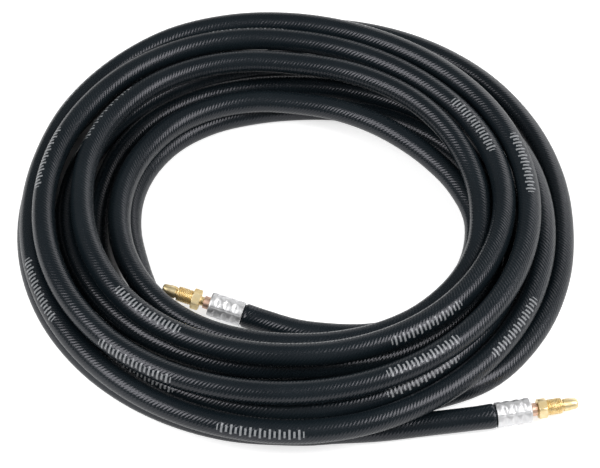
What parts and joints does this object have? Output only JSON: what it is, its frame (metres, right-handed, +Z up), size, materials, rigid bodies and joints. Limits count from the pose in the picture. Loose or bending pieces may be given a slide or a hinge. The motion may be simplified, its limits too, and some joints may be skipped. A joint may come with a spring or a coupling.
{
  "type": "coiled welding torch power cable",
  "caption": "Gas-through power cable of a TIG welding torch: black rubber hose over a copper rope, lying coiled, with a crimped brass screw fitting at each end.",
  "frame": {"origin": "Bottom centre of the box of the whole coil, on the floor that it lies on.", "axes": "+Z up out of the floor, -Y towards the viewer of the picture, +X to the viewer's right, where the front fitting points."},
  "size_m": [0.3424, 0.35, 0.0413],
  "materials": {
    "black_rubber": "black hose cover with a fine cloth impression",
    "bare_copper_rope": "bare copper, stranded",
    "copper_sleeve": "drawn copper tube, slightly dulled",
    "silver_ferrule": "bright ferrule with jaw dimples",
    "turned_brass": "turned brass, bright"
  },
  "bodies": {
    "root": {"hose": "black_rubber", "conductor": "bare_copper_rope", "front_ferrule": "silver_ferrule", "front_crimp_sleeve": "copper_sleeve", "front_connector": "turned_brass", "inner_ferrule": "silver_ferrule", "inner_crimp_sleeve": "copper_sleeve", "inner_connector": "turned_brass"}
  },
  "joints": []
}
